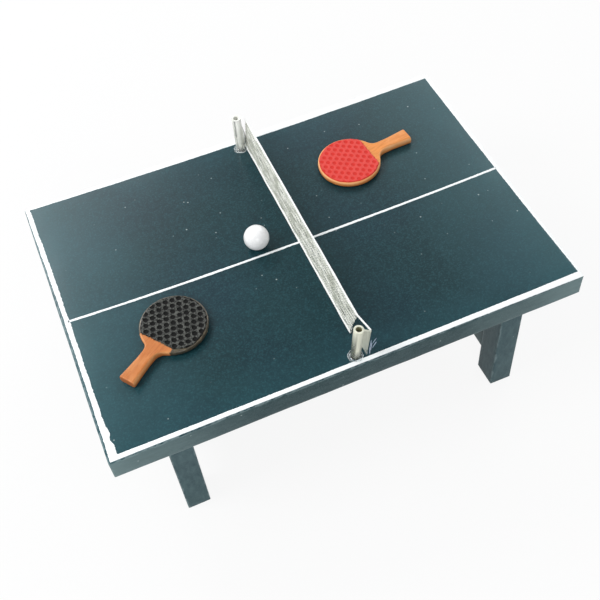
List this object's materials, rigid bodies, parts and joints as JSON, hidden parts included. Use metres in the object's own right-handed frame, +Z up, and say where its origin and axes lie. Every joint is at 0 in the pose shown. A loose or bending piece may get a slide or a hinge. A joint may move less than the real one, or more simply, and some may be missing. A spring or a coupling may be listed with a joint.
{
  "type": "table tennis table",
  "caption": "Doll's-house table tennis table: painted wooden top on block legs with cross rails, lace net on clear posts, loose bats and a ball on top.",
  "frame": {"origin": "on the floor, under the middle of the table top", "axes": "+X along the table, +Y across it from the front long side to the back one, +Z up"},
  "size_m": [0.16, 0.11, 0.0653],
  "materials": {
    "table_paint": "satin slate-green paint on wood",
    "line_paint": "matt white paint",
    "clear_plastic": "clear, glossy, slightly yellow",
    "dried_glue": "clear, glossy",
    "lace_mesh": "fine white mesh",
    "lace_cord": "dense white edge",
    "bat_wood": "orange-brown, satin",
    "black_rubber": "dimpled, satin",
    "red_rubber": "dimpled, satin",
    "ball_plastic": "white, smooth"
  },
  "bodies": {
    "table": {"table_top": "table_paint", "front_left_leg": "table_paint", "back_left_leg": "table_paint", "front_right_leg": "table_paint", "back_right_leg": "table_paint", "left_cross_rail": "table_paint", "right_cross_rail": "table_paint", "border_line": "line_paint", "centre_line": "line_paint", "front_net_post": "clear_plastic", "back_net_post": "clear_plastic", "front_post_glue": "dried_glue", "back_post_glue": "dried_glue", "net_mesh": "lace_mesh", "net_top_cord": "lace_cord", "net_bottom_cord": "lace_cord"},
    "black_bat": {"black_bat_wood": "bat_wood", "black_bat_upper_rubber": "black_rubber", "black_bat_lower_rubber": "black_rubber"},
    "red_bat": {"red_bat_wood": "bat_wood", "red_bat_upper_rubber": "red_rubber", "red_bat_lower_rubber": "red_rubber"},
    "ball": {"ball": "ball_plastic"}
  },
  "joints": [
    {"name": "black_bat_lift", "type": "slide", "parent": "table", "child": "black_bat", "axis": [0, 0, 1], "range_m": [0, 0.02]},
    {"name": "red_bat_lift", "type": "slide", "parent": "table", "child": "red_bat", "axis": [0, 0, 1], "range_m": [0, 0.02]},
    {"name": "ball_lift", "type": "slide", "parent": "table", "child": "ball", "axis": [0, 0, 1], "range_m": [0, 0.02]}
  ]
}
